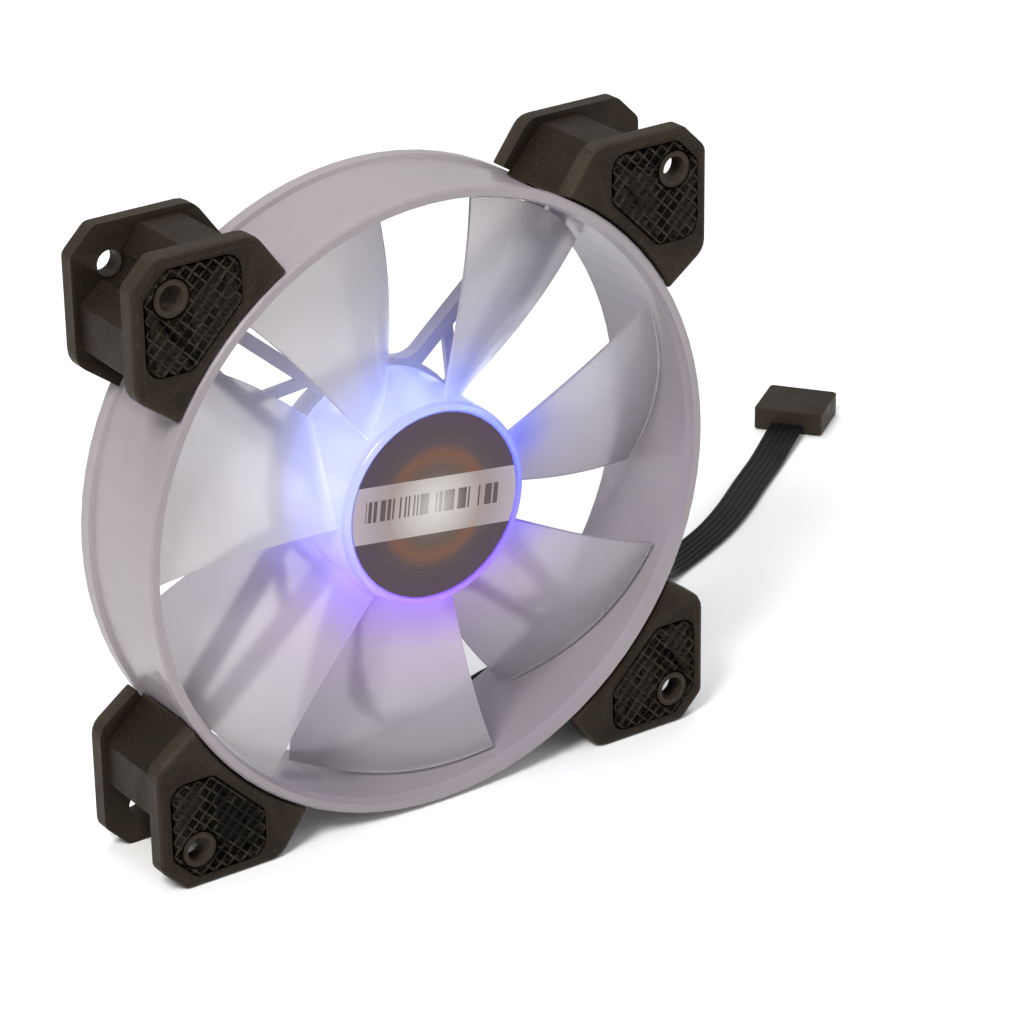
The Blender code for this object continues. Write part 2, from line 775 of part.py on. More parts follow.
def make_cable_tie(look):
    """A band around the coil's far side."""
    gap = AIR_GAP + 0.1
    wall = 0.45
    half_length = 1.4
    near = COIL_CENTRE[1] + COIL_INNER - RIBBON_THICK / 2 - 0.15 - gap
    far = COIL_CENTRE[1] + COIL_OUTER + RIBBON_THICK / 2 + 0.1 + gap
    low = COIL_LOW - AIR_GAP
    high = COIL_LOW + RIBBON_WIDTH + AIR_GAP
    loops = []
    for grow in (wall, 0.0):
        shape = rounded([(near - grow, low - grow, 0.4 + grow), (far + grow, low - grow, 0.4 + grow),
                         (far + grow, high + grow, 0.4 + grow), (near - grow, high + grow, 0.4 + grow)])
        ends = (COIL_CENTRE[0] - half_length, COIL_CENTRE[0] + half_length)
        loops.append([[floor_vertex(x, y, h) for y, h in shape] for x in ends])
    tie = tube_between("cable_tie", loops[0], loops[1], look)
    smooth(tie)


def run_route():
    """From inside the coil, over its top, and along the floor."""
    rest = 0.1 + RIBBON_THICK / 2
    standing = COIL_LOW + RIBBON_WIDTH / 2
    route = []
    for k in range(6):
        share = 0.28 + 0.72 * k / 5
        angle = CROSSING_ANGLE - 150.0 * (1 - share)
        radius = COIL_INNER + (CROSSING_RADIUS - COIL_INNER) * ease(share, -0.4, 0.9)
        x, y = polar(radius, angle)
        height = standing + (CROSSING_HEIGHT - standing) * ease(share, 0.1, 1.0)
        route.append(floor_point(COIL_CENTRE[0] + x, COIL_CENTRE[1] + y, height))
    over_coil = ((75.8, 30.4, 9.9), (79.6, 34.4, 9.7), (83.0, 36.9, 7.0), (86.4, 38.9, 3.5), (90.0, 40.7, 1.3))
    for x, y, height in over_coil:
        route.append(floor_point(x, y, height))
    for x, y in ((96.0, 43.4), (103.0, 46.5), (112.5, 51.2), (122.0, 57.2), (132.5, 64.9), (142.6, 72.1)):
        route.append(floor_point(x, y, rest))
    back_x, back_y = polar(0.3, RUN_HEADING)
    route.append(floor_point(CONNECTOR_AT[0] - back_x, CONNECTOR_AT[1] - back_y, 1.9))
    return route


def make_run(look):
    """The stretch from the coil to the connector, flat on the floor."""
    path = catmull(run_route(), 3)
    last = len(path) - 1
    sides = []
    for k in range(len(path)):
        ahead = path[min(k + 1, last)] - path[max(k - 1, 0)]
        left = Vector((-ahead.y, ahead.x, 0.0)).normalized()
        sides.append(UPRIGHT.slerp(left, 0.12 + 0.88 * ease(k, 0, 15)))
    settle(path, sides)
    strip("ribbon_run", path, sides, look)


def make_connector(look):
    """Six-way crimp housing lying on the floor."""
    length = 14.0
    width = 15.4
    height = 5.4
    cosine, sine = polar(1.0, RUN_HEADING)
    lift = 0.1
    body_shape = rounded([(0.3, -width / 2, 0.5), (length, -width / 2, 0.5), (length, width / 2, 0.5),
                          (0.3, width / 2, 0.5)], steps=2)
    loops = []
    for height_at, grow in ((lift, -0.3), (lift + 0.3, 0.0), (height - 0.3, 0.0), (height, -0.3)):
        loop = []
        for a, b in body_shape:
            a = a + (grow if a > length / 2 else -grow)
            b = b + (grow if b > 0 else -grow)
            x = CONNECTOR_AT[0] + a * cosine - b * sine
            y = CONNECTOR_AT[1] + a * sine + b * cosine
            loop.append(world(x, y, height_at - HALF))
        loops.append(loop)
    housing = loft("connector_housing", loops, look)
    for k in range(6):
        b = (k - 2.5) * 2.54
        ends = (length - 6.0, length + 1.0)
        corners = [(ends[0], b - 0.75), (ends[1], b - 0.75), (ends[1], b + 0.75), (ends[0], b + 0.75)]
        loops = []
        for height_at in (2.0, 3.5):
            loops.append([
                world(CONNECTOR_AT[0] + a * cosine - c * sine, CONNECTOR_AT[1] + a * sine + c * cosine,
                      height_at - HALF)
                for a, c in corners
            ])
        combine(housing, loft("tool", loops), "DIFFERENCE")


def main():
    clear_scene()
    clear = material("clear_plastic", (0.74, 0.71, 0.78), 0.35)
    shell = material("black_shell", (0.03, 0.028, 0.026), 0.55)
    rubber = material("black_rubber", (0.02, 0.019, 0.018), 0.8)
    blade_look = material("frosted_plastic", (0.72, 0.71, 0.8), 0.3)
    label = material("label_film", (0.16, 0.13, 0.17), 0.4)
    steel = material("steel", (0.5, 0.5, 0.52), 0.3, 1.0)
    magnet = material("ferrite", (0.05, 0.05, 0.055), 0.7)
    brass = material("brass", (0.7, 0.52, 0.25), 0.3, 1.0)
    bronze = material("sintered_bronze", (0.5, 0.33, 0.2), 0.5, 1.0)
    copper = material("enamelled_copper", (0.6, 0.25, 0.1), 0.35, 1.0)
    nylon = material("white_nylon", (0.8, 0.8, 0.78), 0.5)
    fibre = material("board", (0.85, 0.86, 0.86), 0.5)
    epoxy = material("chip_epoxy", (0.02, 0.02, 0.022), 0.5)
    lens = material("led_lens", (0.9, 0.9, 0.75), 0.25)
    insulation = material("wire_insulation", (0.015, 0.015, 0.016), 0.45)
    make_frame(clear)
    make_corners(shell, rubber)
    make_impeller(blade_look)
    make_rotor_core(steel, magnet, brass, label)
    make_stator(steel, nylon, copper)
    make_bearing(bronze, nylon, steel, nylon)
    make_board(fibre, lens, epoxy, steel)
    recess = CHANNEL_FLOOR + AIR_GAP
    rear_label = disc("rear_label", 10.4, recess, recess + 0.2, label, segments=32)
    smooth(rear_label)
    make_held_lead(insulation)
    make_free_lead(insulation)
    make_lead_coil(insulation)
    make_cable_tie(insulation)
    make_run(insulation)
    make_connector(shell)


main()
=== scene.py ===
"""Looks for the 120 mm case fan: camera, lead, pads, impeller, materials and lights on the CAD frame."""

import json
import math

import bmesh
import bpy
from mathutils import Matrix, Vector


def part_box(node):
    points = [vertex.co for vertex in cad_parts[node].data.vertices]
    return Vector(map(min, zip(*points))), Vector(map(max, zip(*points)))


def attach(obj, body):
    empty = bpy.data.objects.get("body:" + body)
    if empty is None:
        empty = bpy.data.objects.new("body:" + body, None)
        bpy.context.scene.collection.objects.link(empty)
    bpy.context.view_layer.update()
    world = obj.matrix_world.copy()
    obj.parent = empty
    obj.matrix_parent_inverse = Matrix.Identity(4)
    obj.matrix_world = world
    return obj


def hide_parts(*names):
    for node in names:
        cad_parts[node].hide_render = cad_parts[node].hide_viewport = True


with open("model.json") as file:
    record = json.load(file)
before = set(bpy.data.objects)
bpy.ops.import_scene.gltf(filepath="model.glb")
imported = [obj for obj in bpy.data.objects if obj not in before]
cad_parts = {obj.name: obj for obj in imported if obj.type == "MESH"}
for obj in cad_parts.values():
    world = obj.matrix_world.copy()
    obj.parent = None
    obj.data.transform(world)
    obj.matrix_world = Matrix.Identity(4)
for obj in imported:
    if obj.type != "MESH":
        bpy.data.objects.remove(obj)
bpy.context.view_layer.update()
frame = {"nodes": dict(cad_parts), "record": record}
MM = 0.001
SHAFT_Z = frame["record"]["behaviour"]["joints"][0]["pos_m"][2]
STATOR = "stator"
ROTOR = "rotor"


# Camera. Sensor and lens in millimetres, place in metres from the shaft's middle.

SENSOR_WIDTH = 36.0
LENS = 137.99
LENS_SHIFT_X = 0.1093
LENS_SHIFT_Y = -0.0271
NEAR_CLIP = 0.01
CAMERA_PLACE = (-0.35304, -0.54339, 0.29185)
CAMERA_RIGHT = (0.83233, -0.55375, -0.02418)
CAMERA_UP = (0.24589, 0.32979, 0.91147)


def make_camera():
    data = bpy.data.cameras.new("camera")
    data.sensor_width = SENSOR_WIDTH
    data.lens = LENS
    data.shift_x = LENS_SHIFT_X
    data.shift_y = LENS_SHIFT_Y
    data.clip_start = NEAR_CLIP
    right = Vector(CAMERA_RIGHT).normalized()
    up = Vector(CAMERA_UP)
    up = (up - right * up.dot(right)).normalized()
    back = right.cross(up)
    x, y, above_shaft = CAMERA_PLACE
    place = Vector((x, y, above_shaft + SHAFT_Z))
    camera = bpy.data.objects.new("camera", data)
    rows = [(right[i], up[i], back[i], place[i]) for i in range(3)]
    camera.matrix_world = Matrix((*rows, (0, 0, 0, 1)))
    bpy.context.scene.collection.objects.link(camera)
    bpy.context.scene.camera = camera


# Small helpers. Shapes are drawn in millimetres around the shaft's middle.

def link_mesh(name, bm, smooth=None):
    """A new object from a bmesh, shaded smooth up to an angle in degrees when one is given."""
    bmesh.ops.recalc_face_normals(bm, faces=bm.faces)
    mesh = bpy.data.meshes.new(name)
    bm.to_mesh(mesh)
    bm.free()
    made = bpy.data.objects.new(name, mesh)
    bpy.context.scene.collection.objects.link(made)
    if smooth is not None:
        mesh.shade_smooth()
        mesh.set_sharp_from_angle(angle=math.radians(smooth))
    return made


def finish_piece(piece, look, body, slot, *stands_for):
    """Gives a new piece its look, the body it rides on and the CAD nodes that it replaces. Its slot is not
    used.
    """
    piece.data.materials.clear()
    piece.data.materials.append(look)
    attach(piece, body)
    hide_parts(*stands_for)


def at(x, y, z):
    """Millimetres around the shaft to metres in the frame that all tools share."""
    return Vector((x * MM, y * MM, z * MM + SHAFT_Z))


def polar(radius, degrees):
    return radius * math.cos(math.radians(degrees)), radius * math.sin(math.radians(degrees))


def ease(value, start, stop):
    """0 up to start, 1 from stop on, and a smooth rise between them."""
    share = min(1.0, max(0.0, (value - start) / (stop - start)))
    return share * share * (3 - 2 * share)


def catmull(points, per_span):
    """A smooth curve through all the points, with a number of steps between each two."""
    full = [points[0] * 2 - points[1]] + points + [points[-1] * 2 - points[-2]]
    curve = []
    for k in range(1, len(full) - 2):
        a, b, c, d = full[k - 1:k + 3]
        for step in range(per_span):
            t = step / per_span
            curve.append(0.5 * (2 * b + (c - a) * t + (2 * a - 5 * b + 4 * c - d) * t * t
                                + (3 * b - a - 3 * c + d) * t ** 3))
    curve.append(points[-1])
    return curve


def join_rings(bm, rings):
    """Quads between each two rings of vertices, and a cap on the first and the last."""
    count = len(rings[0])
    for lower, upper in zip(rings, rings[1:]):
        for i in range(count):
            j = (i + 1) % count
            bm.faces.new((lower[i], lower[j], upper[j], upper[i]))
    bm.faces.new(rings[0])
    bm.faces.new(rings[-1])


# The ribbon lead, on the route that part.py gives it: out of the motor base, down behind the ring, round
# the coil behind the lower right block, over the coil and along the floor to the connector.

HALF = 60.0
WIDTH = 7.6
THICK = 1.2
CHANNEL_FLOOR = 10.7
LEAD_Y = CHANNEL_FLOOR + 0.3 + THICK / 2
LEAD_EXIT = 22.2
FLOOR_GAP = 0.1
LAID_FLAT = FLOOR_GAP + THICK / 2
COIL = (67.0, 27.6)
COIL_OUTER = 13.2
COIL_INNER = 10.8
COIL_LOW = 0.85
COIL_STANDING = COIL_LOW + WIDTH / 2
COIL_FIRST_ANGLE = -90.0
COIL_STEP = 10.0
COIL_STEPS = 63
CROSS_RADIUS = 5.6
CROSS_ANGLE = -30.0
CROSS_SWEEP = 150.0
CROSS_HEIGHT = 9.7
CROSS_SHARES = [0.14] + [0.28 + 0.72 * k / 5 for k in range(6)]
OVER_COIL = ((75.8, 30.4, 9.9), (79.6, 34.4, 9.7), (83.0, 36.9, 7.0), (86.4, 38.9, 3.5), (90.0, 40.7, 1.3))
FLOOR_RUN = ((96.0, 43.4), (103.0, 46.5), (112.5, 51.2), (122.0, 57.2), (132.5, 64.9), (142.6, 72.1))
CONNECTOR = (157.3, 83.0)
CONNECTOR_HEIGHT = 1.9
CONNECTOR_GRIP = 0.3
HEADING = 36.0
PER_SPAN = 6
PER_COIL_STEP = 2
LEAD_SMOOTH = 50
UPRIGHT = Vector((0.0, 0.0, 1.0))
SIDEWAYS = Vector((1.0, 0.0, 0.0))
FORE_AND_AFT = Vector((0.0, 1.0, 0.0))

# The width's turn from sideways to fore-and-aft comes in two parts, by depth below the shaft. Its turn
# to upright goes by the distance to the right of the shaft.
EARLY_TURN = (22.0, 36.0)
EARLY_SHARE = 0.633
LATE_TURN = (38.0, 54.0)
LATE_SHARE = 0.367
UPRIGHT_TURN = (16.0, 50.0)
FLOOR_FROM_X = 10.0

# The width's tilt back to lying flat after the coil, by steps along the run.
LOOSE_STEPS = (0, 12)
LOOSE_TILT = 0.12
FALL_STEPS = (12, 42)
FALL_TILT = 0.88


def below(u, y):
    return Vector((0.0, y, -u))


def on_floor(x, y, height):
    return Vector((x, y, height - HALF))


def round_coil(radius, degrees, height):
    x, y = polar(radius, degrees)
    return on_floor(COIL[0] + x, COIL[1] + y, height)


def drop_side(point):
    """The direction of the lead's width on its way down and across to the coil."""
    turned = ease(-point.z, *EARLY_TURN) * EARLY_SHARE + ease(-point.z, *LATE_TURN) * LATE_SHARE
    return SIDEWAYS.slerp(FORE_AND_AFT, turned).slerp(UPRIGHT, ease(point.x, *UPRIGHT_TURN))


def settle(path, sides):
    """Lifts each point just enough for the ribbon's lower edge to clear the floor."""
    for point, side in zip(path, sides):
        flat = math.sqrt(max(0.0, 1 - side.z ** 2))
        if point.x > FLOOR_FROM_X:
            point.z = max(point.z, abs(side.z) * WIDTH / 2 + flat * THICK / 2 + FLOOR_GAP - HALF)


def drop_points():
    return [
        below(LEAD_EXIT, LEAD_Y), below(27.5, 12.6), Vector((0.3, 14.6, -33.5)), Vector((0.8, 16.2, -40.0)),
        Vector((1.3, 17.0, -46.5)), Vector((2.3, 17.2, -52.6)), on_floor(6.2, 17.2, 2.4),
        on_floor(12.5, 17.2, LAID_FLAT), on_floor(21.0, 17.1, LAID_FLAT), on_floor(30.0, 16.7, LAID_FLAT),
        on_floor(39.0, 15.9, 1.9), on_floor(49.0, 14.9, 4.1),
        on_floor(COIL[0] - 6.7, COIL[1] - COIL_OUTER, COIL_STANDING),
    ]


def coil_points():
    wound = []
    for k in range(COIL_STEPS + 1):
        radius = COIL_OUTER + (COIL_INNER - COIL_OUTER) * k / COIL_STEPS
        wound.append(round_coil(radius, COIL_FIRST_ANGLE + COIL_STEP * k, COIL_STANDING))
    return wound


def run_points(start):
    """From the coil's inner end up and over its turns, then along the floor."""
    run = [start]
    for share in CROSS_SHARES:
        radius = COIL_INNER + (CROSS_RADIUS - COIL_INNER) * ease(share, -0.4, 0.9)
        height = COIL_STANDING + (CROSS_HEIGHT - COIL_STANDING) * ease(share, 0.1, 1.0)
        run.append(round_coil(radius, CROSS_ANGLE - CROSS_SWEEP * (1 - share), height))
    run[1] = run[1].lerp(start, 0.25)
    run += [on_floor(x, y, height) for x, y, height in OVER_COIL]
    run += [on_floor(x, y, LAID_FLAT) for x, y in FLOOR_RUN]
    back_x, back_y = polar(CONNECTOR_GRIP, HEADING)
    run.append(on_floor(CONNECTOR[0] - back_x, CONNECTOR[1] - back_y, CONNECTOR_HEIGHT))
    return run


def lead_stations():
    """Centre points and width directions along the free lead, from the motor base to the connector."""
    points = catmull(drop_points(), PER_SPAN)
    sides = [drop_side(point) for point in points]
    wound = coil_points()
    for point in catmull(wound, PER_COIL_STEP):
        points.append(point)
        sides.append(UPRIGHT.copy())
    path = catmull(run_points(wound[-1]), PER_SPAN)
    for k, point in enumerate(path[1:], 1):
        ahead = path[min(k + 1, len(path) - 1)] - path[k - 1]
        left = Vector((-ahead.y, ahead.x, 0.0)).normalized()
        tilt = LOOSE_TILT * ease(k, *LOOSE_STEPS) + FALL_TILT * ease(k, *FALL_STEPS)
        points.append(point)
        sides.append(UPRIGHT.slerp(left, min(1.0, tilt)))
    settle(points, sides)
    return points, sides


def ribbon_section():
    """Six joined round wires, as (across, through) in millimetres, counter-clockwise."""
    wires = 6
    pitch = 1.262
    radius = 0.62
    waist = 30
    arc_points = 6
    top = []
    for k in range(wires):
        centre = (k - (wires - 1) / 2) * pitch
        first = 180 if k == 0 else 180 - waist
        final = 0 if k == wires - 1 else waist
        for step in range(arc_points):
            x, z = polar(radius, first + (final - first) * step / (arc_points - 1))
            top.append((centre + x, z))
    bottom = [(-x, -z) for x, z in top[1:-1]]
    return list(reversed(top + bottom))


def ribbon(name, points, sides):
    """The wires' section swept along the points, its width along the sides."""
    section = ribbon_section()
    bm = bmesh.new()
    rings = []
    final = len(points) - 1
    for k, point in enumerate(points):
        tangent = (points[min(k + 1, final)] - points[max(k - 1, 0)]).normalized()
        side = sides[k] - tangent * sides[k].dot(tangent)
        side.normalize()
        normal = tangent.cross(side)
        rings.append([bm.verts.new(at(*(point + side * a + normal * b))) for a, b in section])
    join_rings(bm, rings)
    return link_mesh(name, bm, LEAD_SMOOTH)


def make_lead(look):
    points, sides = lead_stations()
    lead = ribbon("ribbon_lead", points, sides)
    finish_piece(lead, look, STATOR, "wire_insulation", "ribbon_drop", "ribbon_coil", "ribbon_run")
    held = catmull([below(13.0, 9.4), below(13.05, 10.4), below(14.1, 11.35), below(16.5, LEAD_Y),
                    below(LEAD_EXIT, LEAD_Y)], PER_SPAN)
    inside = ribbon("ribbon_in_base", held, [SIDEWAYS] * len(held))
    finish_piece(inside, look, STATOR, "wire_insulation", "lead_in_base")


# Pads: the CAD pads with a raised diamond net on the outer face.

RIDGE_PITCH = 1.92 * MM
RIDGE_WIDTH = 0.36 * MM
CELL_DEPTH = 0.55 * MM
CUT_REACH = 1e-8
FACING = 0.9
FACE_REACH = 0.05 * MM
FLAT_ANGLE = 1
PAD_SMOOTH = 30
DIAGONALS = (Vector((1, 0, 1)).normalized(), Vector((1, 0, -1)).normalized())


def in_cell(along):
    """Whether a distance across the ridges falls between two of them."""
    rest = along / RIDGE_PITCH - math.floor(along / RIDGE_PITCH + 0.5)
    return abs(rest) * RIDGE_PITCH > RIDGE_WIDTH / 2


def cut_net(bm, middle, lines):
    """Cuts the mesh along both edges of every ridge, in both diagonal directions."""
    for diagonal in DIAGONALS:
        for line in range(-lines, lines + 1):
            for edge in (-RIDGE_WIDTH / 2, RIDGE_WIDTH / 2):
                place = middle + diagonal * (line * RIDGE_PITCH + edge)
                geometry = bm.verts[:] + bm.edges[:] + bm.faces[:]
                bmesh.ops.bisect_plane(bm, geom=geometry, dist=CUT_REACH, plane_co=place, plane_no=diagonal)


def diamond_pad(name, look):
    low, high = (Vector(corner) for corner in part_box(name))
    middle = (low + high) / 2
    outward = -1 if name.startswith("front") else 1
    face_y = low.y if outward < 0 else high.y
    bm = bmesh.new()
    bm.from_mesh(frame["nodes"][name].data)
    cut_net(bm, middle, math.ceil((high - low).length / 2 / RIDGE_PITCH))
    cells = []
    for face in bm.faces:
        centre = face.calc_center_median()
        if face.normal.y * outward > FACING and abs(centre.y - face_y) < FACE_REACH:
            if all(in_cell((centre - middle).dot(diagonal)) for diagonal in DIAGONALS):
                cells.append(face)
    sunk = bmesh.ops.extrude_face_region(bm, geom=cells)
    for part in sunk["geom"]:
        if isinstance(part, bmesh.types.BMVert):
            part.co.y -= outward * CELL_DEPTH
    bmesh.ops.delete(bm, geom=cells, context="FACES")
    bmesh.ops.dissolve_limit(bm, angle_limit=math.radians(FLAT_ANGLE), verts=bm.verts, edges=bm.edges)
    pad = link_mesh(name + "_diamonds", bm, PAD_SMOOTH)
    finish_piece(pad, look, STATOR, "black_rubber", name)


def make_pads(look):
    for name in frame["nodes"]:
        if "_pad_" in name and name != "thrust_pad":
            diamond_pad(name, look)


# Impeller: the CAD's hub and blades on a finer mesh.

BLADES = 7
FIRST_GAP = 29.7
BLADE_ROOT = 19.1
BLADE_TIP = 56.1
SPANS = 20
CHORDS = 16
SEGMENTS = 128
IMPELLER_SMOOTH = 32

# The hub cup's outline as (radius, y), from the rim around the label, down the outside, and back inside.
HUB_PROFILE = (
    (17.95, -10.9), (17.95, -11.4), (18.1, -11.53), (18.4, -11.6), (18.75, -11.53), (19.05, -11.3),
    (19.25, -10.95), (19.35, -10.4), (19.5, -6.0), (19.7, -1.0), (19.85, 4.0), (20.0, 8.3), (18.7, 8.3),
    (18.1, -9.3), (16.0, -9.3), (16.0, -5.0), (14.8, -5.0), (14.8, -9.3),
)


def blade_point(span, chord):
    """A point of the blade's middle surface. span 0 is the root, chord 0 the leading edge."""
    radius = BLADE_ROOT + (BLADE_TIP - BLADE_ROOT) * span
    width = 45.0 - 6.5 * span
    sweep = 4.0 * span * span
    angle = math.radians(sweep + (0.5 - chord) * width)
    leading = -9.0 + 1.0 * span
    trailing = 6.6 - 1.8 * span
    camber = 1.6 * math.sin(math.pi * chord)
    depth = leading + (trailing - leading) * chord - camber
    return Vector((radius * math.cos(angle), depth, radius * math.sin(angle)))


def blade_thickness(span, chord):
    return (1.7 - 0.5 * span) * (0.4 + 0.6 * math.sin(math.pi * chord))


def blade_face(bm, turn, face):
    """A grid of vertices on one side of a blade, -1 or 1, turned by an angle around the shaft."""
    small = 0.001
    around_shaft = Matrix.Rotation(-turn, 3, "Y")
    grid = []
    for i in range(SPANS + 1):
        row = []
        for j in range(CHORDS + 1):
            span = i / SPANS
            chord = j / CHORDS
            point = blade_point(span, chord)
            across = blade_point(span + small, chord) - point
            along = blade_point(span, chord + small) - point
            point = point + across.cross(along).normalized() * (face * blade_thickness(span, chord) / 2)
            row.append(bm.verts.new(at(*(around_shaft @ point))))
        grid.append(row)
    return grid


def add_blade(bm, turn):
    """A thin closed blade: two faces and the rim between them."""
    grids = [blade_face(bm, turn, face) for face in (-1, 1)]
    for grid in grids:
        for i in range(SPANS):
            for j in range(CHORDS):
                bm.faces.new((grid[i][j], grid[i + 1][j], grid[i + 1][j + 1], grid[i][j + 1]))
    rim = [(0, j) for j in range(CHORDS)] + [(i, CHORDS) for i in range(SPANS)]
    rim += [(SPANS, j) for j in range(CHORDS, 0, -1)] + [(i, 0) for i in range(SPANS, 0, -1)]
    for k, (i, j) in enumerate(rim):
        m, n = rim[(k + 1) % len(rim)]
        bm.faces.new((grids[0][i][j], grids[0][m][n], grids[1][m][n], grids[1][i][j]))


def add_hub(bm):
    rings = []
    for radius, y in HUB_PROFILE:
        rings.append([])
        for k in range(SEGMENTS):
            x, z = polar(radius, 360.0 * k / SEGMENTS)
            rings[-1].append(bm.verts.new(at(x, y, z)))
    join_rings(bm, rings)


def make_impeller(look):
    """The hub cup and the blades, joined into one shape."""
    bm = bmesh.new()
    add_hub(bm)
    impeller = link_mesh("impeller_fine", bm)
    bm = bmesh.new()
    for k in range(BLADES):
        add_blade(bm, math.radians(FIRST_GAP + 360.0 / BLADES * (k + 0.5)))
    blades = link_mesh("blades", bm)
    union = impeller.modifiers.new("Blades", "BOOLEAN")
    union.operation = "UNION"
    union.solver = "EXACT"
    union.object = blades
    shape = bpy.data.meshes.new_from_object(impeller.evaluated_get(bpy.context.evaluated_depsgraph_get()))
    impeller.modifiers.clear()
    impeller.data = shape
    bpy.data.objects.remove(blades, do_unlink=True)
    shape.shade_smooth()
    shape.set_sharp_from_angle(angle=math.radians(IMPELLER_SMOOTH))
    finish_piece(impeller, look, ROTOR, "frosted_plastic", "impeller")


# Procedural materials.

BUMP_DEPTH = 0.0001


def rgba(value):
    """Four numbers from a grey or an (r, g, b)."""
    return (*value, 1.0) if isinstance(value, tuple) else (value, value, value, 1.0)


class Look:
    """A Principled material with short calls for its texture nodes."""

    def __init__(self, name, **values):
        self.material = bpy.data.materials.new(name)
        self.material.use_nodes = True
        self.tree = self.material.node_tree
        self.shader = self.tree.nodes["Principled BSDF"]
        for key, value in values.items():
            self.shader.inputs[key.replace("_", " ")].default_value = value
        self.place = self.tree.nodes.new("ShaderNodeTexCoord").outputs["Object"]

    def put(self, source, target):
        """Links a node's output to an input, or sets the input to a plain value."""
        if isinstance(source, bpy.types.NodeSocket):
            self.tree.links.new(source, target)
        else:
            target.default_value = source

    def math(self, operation, a, b=0.0, clamp=False):
        node = self.tree.nodes.new("ShaderNodeMath")
        node.operation = operation
        node.use_clamp = clamp
        self.put(a, node.inputs[0])
        self.put(b, node.inputs[1])
        return node.outputs[0]

    def times(self, a, b):
        return self.math("MULTIPLY", a, b)

    def plus(self, a, b, clamp=False):
        return self.math("ADD", a, b, clamp)

    def less(self, a, b):
        return self.math("SUBTRACT", a, b)

    def within(self, value, limit):
        """1 where a value is nearer to zero than the limit, 0 elsewhere."""
        return self.math("LESS_THAN", self.math("ABSOLUTE", value), limit)

    def noise(self, scale, detail=3.0, roughness=0.5):
        node = self.tree.nodes.new("ShaderNodeTexNoise")
        node.inputs["Scale"].default_value = scale
        node.inputs["Detail"].default_value = detail
        node.inputs["Roughness"].default_value = roughness
        self.put(self.place, node.inputs["Vector"])
        return node.outputs["Fac"]

    def random_cells(self, position):
        """A random grey for each whole number of the position."""
        node = self.tree.nodes.new("ShaderNodeTexWhiteNoise")
        node.noise_dimensions = "1D"
        self.put(self.math("FLOOR", position), node.inputs["W"])
        return node.outputs["Value"]

    def ramp(self, fac, *stops):
        """Stops are (position, grey or colour)."""
        node = self.tree.nodes.new("ShaderNodeValToRGB")
        elements = node.color_ramp.elements
        while len(elements) < len(stops):
            elements.new(0.5)
        for element, (position, colour) in zip(elements, stops):
            element.position = position
            element.color = rgba(colour)
        self.put(fac, node.inputs["Fac"])
        return node.outputs["Color"]

    def mix(self, fac, a, b, kind="MIX"):
        node = self.tree.nodes.new("ShaderNodeMix")
        node.data_type = "RGBA"
        node.blend_type = kind
        self.put(fac, node.inputs[0])
        self.put(rgba(a) if isinstance(a, tuple) else a, node.inputs[6])
        self.put(rgba(b) if isinstance(b, tuple) else b, node.inputs[7])
        return node.outputs[2]

    def around(self):
        """Radius from the shaft in metres, and x and z from it."""
        node = self.tree.nodes.new("ShaderNodeSeparateXYZ")
        self.put(self.place, node.inputs[0])
        x = node.outputs[0]
        up = self.less(node.outputs[2], SHAFT_Z)
        square = self.plus(self.times(x, x), self.times(up, up))
        return self.math("SQRT", square), x, up

    def bump(self, height, strength):
        node = self.tree.nodes.new("ShaderNodeBump")
        node.inputs["Strength"].default_value = strength
        node.inputs["Distance"].default_value = BUMP_DEPTH
        self.put(height, node.inputs["Height"])
        self.put(node.outputs["Normal"], self.shader.inputs["Normal"])

    def colour(self, source):
        self.put(source, self.shader.inputs["Base Color"])

    def rough(self, source):
        self.put(source, self.shader.inputs["Roughness"])

    def glow(self, colour, strength):
        self.put(colour, self.shader.inputs["Emission Color"])
        self.put(strength, self.shader.inputs["Emission Strength"])

    def edges(self, low, high):
        """White on convex edges, from the mesh's pointiness."""
        node = self.tree.nodes.new("ShaderNodeNewGeometry")
        return self.ramp(node.outputs["Pointiness"], (low, 0.0), (high, 1.0))


def glow_colour(look, x, up):
    """Cool white to the upper left, blue to the right, violet below. x and up are metres from the shaft."""
    cool_white = (0.62, 0.66, 1.0)
    light_blue = (0.38, 0.45, 1.0)
    deep_blue = (0.12, 0.15, 1.0)
    violet = (0.45, 0.11, 1.0)
    lean = look.plus(look.plus(look.times(x, 22.0), look.times(up, -14.0)), 0.5, clamp=True)
    cool = look.ramp(lean, (0.0, cool_white), (0.45, light_blue), (1.0, deep_blue))
    low = look.plus(look.times(up, -34.0), 0.05, clamp=True)
    return look.mix(low, cool, violet)


def painted_hub_glow(look, radius, x, up, *stops):
    """Painted glow: emission that stands in for the LEDs' light in the plastic, fading with the distance
    from the shaft. Stops are (millimetres, strength).
    """
    reach = 60.0
    fade = look.ramp(look.times(radius, 1000.0 / reach), *((mm / reach, value) for mm, value in stops))
    look.glow(glow_colour(look, x, up), fade)


def milky():
    """Milky clear moulding: faint clouding and flow marks around the shaft, with a painted glow near the
    hub that stands in for the LEDs' light.
    """
    look = Look("milky_frame", IOR=1.45, Roughness=0.31, Transmission_Weight=0.25, Specular_IOR_Level=0.4)
    radius, x, up = look.around()
    flow_radians_per_metre = 5200.0
    tint = look.ramp(look.noise(24.0), (0.3, (0.300, 0.268, 0.290)), (0.7, (0.345, 0.310, 0.335)))
    flow = look.ramp(look.math("SINE", look.times(radius, flow_radians_per_metre)), (0.0, 0.98), (1.0, 1.0))
    look.colour(look.mix(1.0, tint, flow, "MULTIPLY"))
    # Painted glow: emission near the hub, standing in for the LEDs' light in the ring and struts.
    painted_hub_glow(look, radius, x, up, (20.0, 0.34), (24.0, 0.24), (32.0, 0.12), (45.0, 0.04), (56.0, 0.0))
    return look.material


